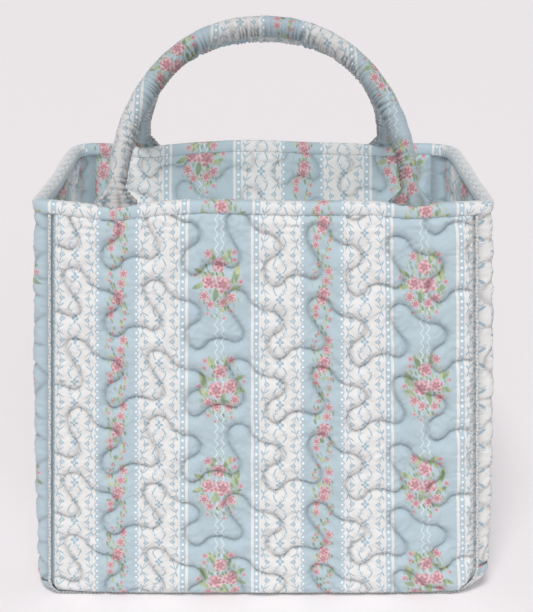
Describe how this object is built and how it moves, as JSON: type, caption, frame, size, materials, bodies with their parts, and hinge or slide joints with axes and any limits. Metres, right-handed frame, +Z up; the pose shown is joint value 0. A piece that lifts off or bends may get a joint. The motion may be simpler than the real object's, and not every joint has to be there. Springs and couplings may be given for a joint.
{
  "type": "knitting bag",
  "caption": "Boxy open-top knitting bag of quilted printed cotton with a bound rim, corded seams and padded hoop handles that lean together and fold outward.",
  "frame": {"origin": "middle of the base, on the surface that the bag stands on", "axes": "+Z up through the open top, -Y out of the front panel, +X to the right seen from the front"},
  "size_m": [0.3702, 0.2288, 0.4692],
  "materials": {
    "print_cotton": "pale blue and white striped cotton with pink rose sprigs, quilted",
    "lining_cotton": "the same striped cotton, facing inward",
    "binding_cotton": "folded striped cotton strip, topstitched",
    "welt_cotton": "narrow puckered cotton welt",
    "handle_cotton": "striped cotton sleeve, puckered round a cord",
    "cotton_cord": "unbleached cotton filler cord",
    "wadding": "white quilt wadding",
    "base_board": "thin flexible sheet sewn into the base"
  },
  "bodies": {
    "bag": {"front_shell": "print_cotton", "front_wadding": "wadding", "front_lining": "lining_cotton", "back_shell": "print_cotton", "back_wadding": "wadding", "back_lining": "lining_cotton", "left_side_shell": "print_cotton", "left_side_wadding": "wadding", "left_side_lining": "lining_cotton", "right_side_shell": "print_cotton", "right_side_wadding": "wadding", "right_side_lining": "lining_cotton", "base_shell": "print_cotton", "base_wadding": "wadding", "base_lining": "lining_cotton", "base_board": "base_board", "front_seam_welt": "welt_cotton", "back_seam_welt": "welt_cotton", "rim_binding": "binding_cotton", "front_handle_left_tab": "handle_cotton", "front_handle_right_tab": "handle_cotton", "back_handle_left_tab": "handle_cotton", "back_handle_right_tab": "handle_cotton"},
    "front_handle": {"front_handle_sleeve": "handle_cotton", "front_handle_cord": "cotton_cord"},
    "back_handle": {"back_handle_sleeve": "handle_cotton", "back_handle_cord": "cotton_cord"}
  },
  "joints": [
    {"name": "front_handle_fold", "type": "hinge", "parent": "bag", "child": "front_handle", "pos_m": [0, -0.1088, 0.346], "axis": [1, 0, 0], "range_deg": [0, 200]},
    {"name": "back_handle_fold", "type": "hinge", "parent": "bag", "child": "back_handle", "pos_m": [0, 0.1088, 0.346], "axis": [-1, 0, 0], "range_deg": [0, 200]}
  ]
}
